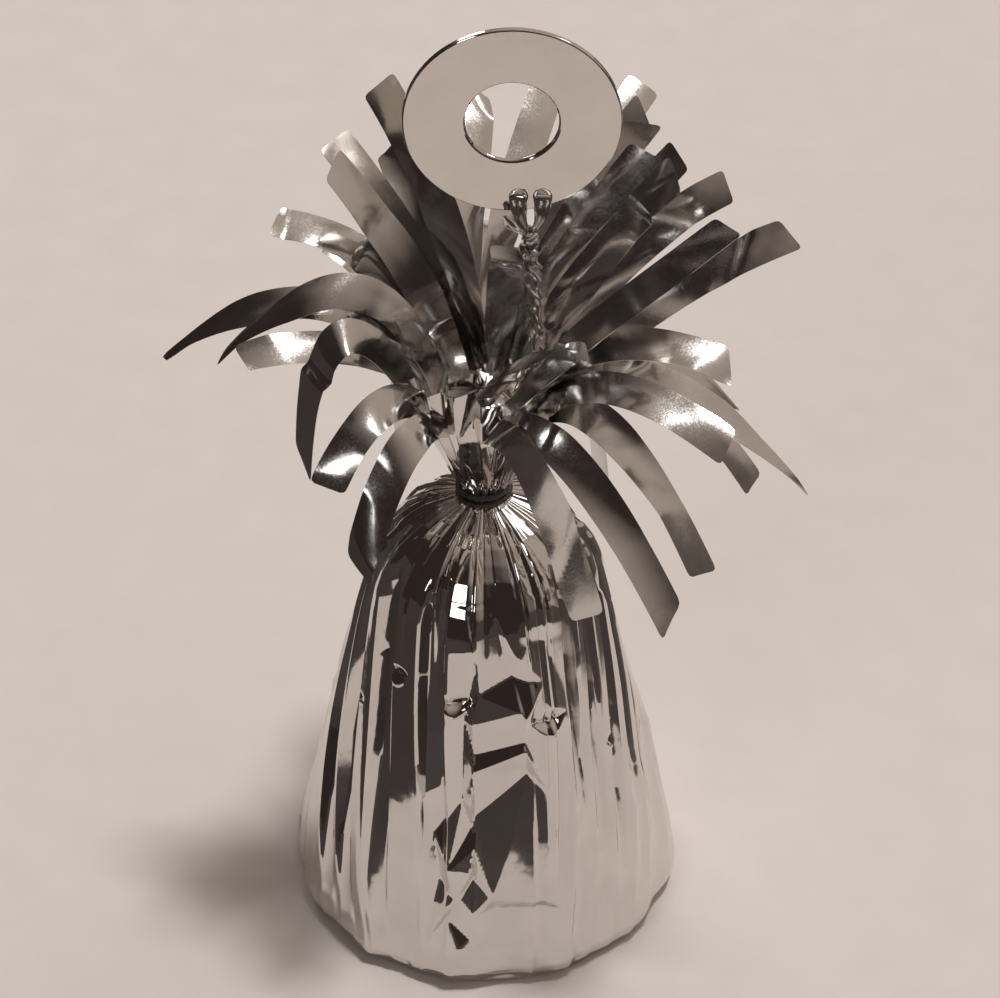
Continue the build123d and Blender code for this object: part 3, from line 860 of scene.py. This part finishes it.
# %% free end
flap_way_shares, flap_half_widths = (0, 0.35, 0.75, 1), (0.35, 0.7, 0.95, 0.3)
flap_half_thick, flap_rib_share, flap_rib_rate = 0.12, 0.16, 6
flap_route = [(5.6, -2.1, 112.0), (4.6, -2.7, 113.2), (3.6, -2.9, 114.2), (2.7, -2.7, 115.4)]


def flap_section(share, turn):
    flat = np.interp(share, flap_way_shares, flap_half_widths)
    ribs = flap_rib_share * flat * np.cos(np.cos(turn) * flap_rib_rate)
    return flat * np.cos(turn), flap_half_thick * np.sin(turn) + ribs


flap = tube_along(flap_route, resolution=14, section=flap_section, around=32)
add_piece(flap, "tether_free_end", strip_film, "loop", "tether_film")

# %% knot
knot_middle, knot_low, knot_climb = (5.95, -1.6), 110.6, 2.0
knot_radius, knot_thick, knot_turns = 0.7, 0.42, 2.6
pinch_depth, pinch_up_rates, pinch_round_rates, no_length = 0.13, (9, 5), (7, 6), 1e-6
knot = wound_coil(knot_middle, knot_radius, knot_low, knot_thick, sides=14, turns=knot_turns, steps=110,
                  climb=knot_climb)


def knot_creases(places):
    # the film in the knot is pinched into small facets
    x, y, height = places.T
    pinch = pinch_depth * np.sin(height * pinch_up_rates[0] + x * pinch_up_rates[1])
    pinch = pinch * np.cos(x * pinch_round_rates[0] - y * pinch_round_rates[1])
    away = places - np.array((*knot_middle, 0))
    away[:, 2] = 0
    return places + unit(away + no_length) * pinch[:, None]


reshape(knot, knot_creases)
add_piece(knot, "tether_knot", strip_film, "loop", "tether_film")

# %% [markdown]
# ## The ring
# The ring is a flat disc with a large hole for the ribbon and two small ones for the loop. Four circles are
# filled between, the face is drawn out to its thickness and its rims are rounded, more so at the large hole.

# %% ring
ring_centre, ring_axis, ring_thick, ring_tilt = (3.61, 128.7), (-1.0, 117.5), 0.8, 3
ring_radius, ribbon_hole_radius, loop_hole_radius, loop_hole_places = 13.5, 5.75, 1.0, (4.45, 7.45)
rim_sides, ribbon_hole_sides, loop_hole_sides = 128, 96, 32
lip_reach, lip_round, rim_round, round_steps = 6, 0.37, 0.22, 4
rims = [(*ring_centre, ring_radius, rim_sides), (*ring_centre, ribbon_hole_radius, ribbon_hole_sides)]
rims += [(across, ring_axis[1], loop_hole_radius, loop_hole_sides) for across in loop_hole_places]
disc = bmesh.new()
for across, height, radius, segments in rims:
    rim = bmesh.ops.create_circle(disc, segments=segments, radius=radius * MM)["verts"]
    bmesh.ops.translate(disc, verts=rim, vec=(across * MM, height * MM, 0))
bmesh.ops.triangle_fill(disc, edges=disc.edges[:], use_beauty=True, use_dissolve=False)
grown = bmesh.ops.extrude_face_region(disc, geom=disc.faces[:])["geom"]
bmesh.ops.translate(disc, verts=[part for part in grown if isinstance(part, bmesh.types.BMVert)],
                    vec=(0, 0, ring_thick * MM))
bmesh.ops.recalc_face_normals(disc, faces=disc.faces[:])

# %% ring rims
sharp = [edge for edge in disc.edges if edge.calc_face_angle(0) > 1]
hole_middle = Vector((*ring_centre, 0)) * MM
lip = [edge for edge in sharp
       if ((edge.verts[0].co - hole_middle) * Vector((1, 1, 0))).length < lip_reach * MM]
for edges, offset in ((lip, lip_round), ([edge for edge in sharp if edge not in lip], rim_round)):
    bmesh.ops.bevel(disc, geom=edges, offset=offset * MM, segments=round_steps, profile=0.5, affect="EDGES",
                    material=-1)
# the disc is stood up with its face to the front, then tilted about the axis through its small holes
reshape(disc, lambda places: np.column_stack((places[:, 0], ring_axis[0] + ring_thick / 2 - places[:, 2],
                                              places[:, 1])))
bmesh.ops.rotate(disc, verts=disc.verts[:], cent=(0, ring_axis[0] * MM, ring_axis[1] * MM),
                 matrix=Matrix.Rotation(math.radians(ring_tilt), 3, "X"))
bmesh.ops.recalc_face_normals(disc, faces=disc.faces[:])
add_piece(disc, "ring_disc", ring_film, "ring", "ring_mirror", "hang_ring", sharp_angle=8)

# %% [markdown]
# ## The sheet that all the film is
# The wrap, the collar and the strips are one sheet of film, gathered round the weight and tied.

# %% [markdown]
# ## Table, light and camera
# The weight stands on a pale board in a dim room. A mirror shows what is round it, so the board is laid with
# care: it ends a little way in front and at the left, with a dark floor beyond, and a painted shade darkens
# it to the right, as if less light fell there. Low down the film then shows the pale board, and higher up the
# dim room, which gives it its contrast. A high soft lamp lights the board from above, three small ones put
# glints on the film, and the room is paler up to the right and behind. The camera looks down at the
# photograph's angle.

# %% board and room
# pale board without shine, with a painted shade that darkens it towards the right
board_finish = plain_finish("board_with_painted_shade", "#d6cdc7", "#cfc6bf", rough=0.75, grain_mm=9, grain_push=0.02)
# dark floor: it shows in the film as dark bands
room_finish = plain_finish("dark_floor", "#3a2f2b", "#322824", rough=0.8, grain_mm=20, grain_push=0.02)
# painted shade: towards the right the board is mixed into this dark colour, as if less light fell there
board_painted_shade, board_painted_shade_from, board_painted_shade_to = "#4a403b", 0.112, 0.16
skin = next(node for node in board_finish.node_tree.nodes if node.type == "BSDF_PRINCIPLED")
paint = skin.inputs["Base Color"]
place = add_node(board_finish, "ShaderNodeTexCoord").outputs["Object"]
right = add_node(board_finish, "ShaderNodeSeparateXYZ", {0: place}).outputs["X"]
# the painted shade comes in between these two distances to the right
painted_shade_share = add_node(board_finish, "ShaderNodeMapRange",
               {"Value": right, "From Min": board_painted_shade_from, "From Max": board_painted_shade_to}).outputs["Result"]
painted_shade_mix = add_node(board_finish, "ShaderNodeMix",
                  {0: painted_shade_share, 6: paint.links[0].from_socket, 7: linear(board_painted_shade)}, data_type="RGBA")
board_finish.node_tree.links.new(painted_shade_mix.outputs[2], paint)

# board and floor sizes are in metres; the board's front left corner is its reference
board_wide, board_thick, board_round, board_turn, board_corner = 4, 0.018, 0.003, 7, (-0.053, -0.207, 0)
room_floor_radius = 6
board = bmesh.new()
bmesh.ops.create_cube(board, size=1)
bmesh.ops.translate(board, verts=board.verts[:], vec=(0.5, 0.5, -0.5))
bmesh.ops.scale(board, verts=board.verts[:], vec=(board_wide, board_wide, board_thick))
bmesh.ops.bevel(board, geom=board.edges[:], offset=board_round, segments=2, profile=0.5, affect="EDGES",
                material=-1)
bmesh.ops.rotate(board, verts=board.verts[:], cent=(0, 0, 0),
                 matrix=Matrix.Rotation(math.radians(board_turn), 3, "Z"))
bmesh.ops.translate(board, verts=board.verts[:], vec=board_corner)
ground = bmesh.new()
bmesh.ops.create_circle(ground, cap_ends=True, segments=96, radius=room_floor_radius)
bmesh.ops.translate(ground, verts=ground.verts[:], vec=(0, 0, -board_thick))
for bm, name, finish in ((board, "board", board_finish), (ground, "room_floor", room_finish)):
    mesh = bpy.data.meshes.new(name)
    bm.to_mesh(mesh)
    bm.free()
    mesh.materials.append(finish)
    prop = bpy.data.objects.new(name, mesh)
    bpy.context.collection.objects.link(prop)
    print(name, "is", round(prop.dimensions.x, 2), "m across")

# %% room light
room_pale_way, room_dark, room_pale = (0.654, 0.38, 0.654), "#322926", "#b6a89d"
room_dark_share, room_pale_share = 0.1, 0.75
room = bpy.data.worlds.new("dim_room")
room.use_nodes = True
gaze = add_node(room, "ShaderNodeTexCoord").outputs["Generated"]
towards = add_node(room, "ShaderNodeVectorMath", {0: gaze, 1: room_pale_way}, operation="DOT_PRODUCT")
paleness = add_node(room, "ShaderNodeMapRange",
                    {"Value": towards.outputs["Value"], "From Min": room_dark_share,
                     "From Max": room_pale_share})
shade = add_node(room, "ShaderNodeMix",
                 {0: paleness.outputs["Result"], 6: linear(room_dark), 7: linear(room_pale)},
                 data_type="RGBA")
room.node_tree.links.new(shade.outputs[2], room.node_tree.nodes["Background"].inputs["Color"])
bpy.context.scene.world = room

# %% lamps and camera
def aimed(maker, name, place, aim):
    # an object at the place, in metres, that looks at the aim
    made = bpy.data.objects.new(name, maker)
    made.location = place
    made.rotation_euler = (Vector(aim) - made.location).to_track_quat("-Z", "Y").to_euler()
    bpy.context.collection.objects.link(made)
    print(name, "stands at", place)
    return made


lamp_aim = (0, 0, 0.06)
high_lamp = bpy.data.lights.new("high_lamp", "SUN")
high_lamp.energy = 1.8
high_lamp.angle = 0.14
aimed(high_lamp, "high_lamp", (0.15, 0.06, 1.0), lamp_aim)
small_lamp_power, small_lamp_size = 1, 0.3
for name, place in (("front_lamp", (-0.5, -0.75, 0.6)), ("left_lamp", (-0.45, 0.85, 0.65)),
                    ("right_lamp", (0.75, 0.5, 0.85))):
    lamp = bpy.data.lights.new(name, "AREA")
    lamp.energy = small_lamp_power
    lamp.size = small_lamp_size
    aimed(lamp, name, place, lamp_aim)

camera_place, camera_aim = (0, -0.3251, 0.33665), (0.00215, 0, 0.0674)
lens = bpy.data.cameras.new("photo_camera")
lens.lens = 112.5
lens.sensor_width = 36
lens.clip_start = 0.02
lens.clip_end = 20
bpy.context.scene.camera = aimed(lens, "photo_camera", camera_place, camera_aim)
bpy.context.scene.view_settings.view_transform = "Standard"
